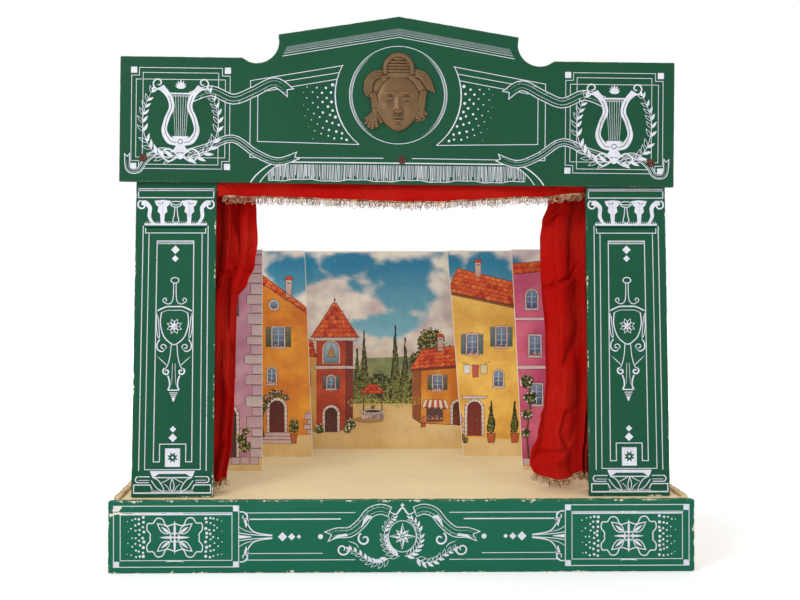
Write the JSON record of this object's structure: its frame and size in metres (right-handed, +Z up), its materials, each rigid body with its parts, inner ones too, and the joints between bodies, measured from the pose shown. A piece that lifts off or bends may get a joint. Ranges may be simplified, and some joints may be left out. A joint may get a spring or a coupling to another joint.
{
  "type": "puppet theatre stand",
  "caption": "Table-top puppet theatre with a stage box, painted proscenium, moulded mask, sliding draw curtains, valance and lift-out scenery cards.",
  "frame": {"origin": "on the table, under the middle of the stage box", "axes": "+X to the audience's right, +Y from the audience into the stage, +Z up"},
  "size_m": [0.65, 0.362, 0.618],
  "materials": {
    "green_paint": "gloss paint on plywood, worn at the edges",
    "cream_paint": "satin cream paint",
    "bare_wood": "planed, bare",
    "card_print": "printed card with white edges",
    "red_cloth": "thin plain-woven cotton",
    "gold_trim": "looped gilt fringe",
    "bronze_cast": "dull bronzed relief",
    "rusty_steel": "rusted",
    "brass_wire": "bright drawn"
  },
  "bodies": {
    "root": {"front_board": "green_paint", "rear_board": "cream_paint", "side_board_left": "cream_paint", "side_board_right": "cream_paint", "ledger_left": "bare_wood", "ledger_right": "bare_wood", "ledger_front": "bare_wood", "ledger_rear": "bare_wood", "floor_brace": "bare_wood", "stage_floor": "cream_paint", "column_left": "green_paint", "column_right": "green_paint", "post_left": "bare_wood", "post_right": "bare_wood", "head_board": "green_paint", "header_rail": "bare_wood", "head_screw_left": "rusty_steel", "head_screw_middle": "rusty_steel", "head_screw_right": "rusty_steel", "foot_screw_left": "rusty_steel", "foot_screw_right": "rusty_steel", "rod_eye_left": "brass_wire", "rod_eye_right": "brass_wire", "curtain_rod": "brass_wire", "valance": "red_cloth", "valance_fringe": "gold_trim", "mask": "bronze_cast"},
    "left_curtain": {"curtain_left": "red_cloth", "curtain_left_fringe": "gold_trim"},
    "right_curtain": {"curtain_right": "red_cloth", "curtain_right_fringe": "gold_trim"},
    "front_left_card": {"wing_front_left": "card_print"},
    "front_right_card": {"wing_front_right": "card_print"},
    "mid_left_card": {"wing_mid_left": "card_print"},
    "mid_right_card": {"wing_mid_right": "card_print"},
    "back_card": {"backdrop": "card_print"}
  },
  "joints": [
    {"name": "left_curtain_slide", "type": "slide", "parent": "root", "child": "left_curtain", "axis": [1, 0, 0], "range_m": [0, 0.145]},
    {"name": "right_curtain_slide", "type": "slide", "parent": "root", "child": "right_curtain", "axis": [-1, 0, 0], "range_m": [0, 0.145]},
    {"name": "front_left_card_lift", "type": "slide", "parent": "root", "child": "front_left_card", "axis": [0, 0, 1], "range_m": [0, 0.3]},
    {"name": "front_right_card_lift", "type": "slide", "parent": "root", "child": "front_right_card", "axis": [0, 0, 1], "range_m": [0, 0.3]},
    {"name": "mid_left_card_lift", "type": "slide", "parent": "root", "child": "mid_left_card", "axis": [0, 0, 1], "range_m": [0, 0.3]},
    {"name": "mid_right_card_lift", "type": "slide", "parent": "root", "child": "mid_right_card", "axis": [0, 0, 1], "range_m": [0, 0.3]},
    {"name": "back_card_lift", "type": "slide", "parent": "root", "child": "back_card", "axis": [0, 0, 1], "range_m": [0, 0.3]}
  ]
}
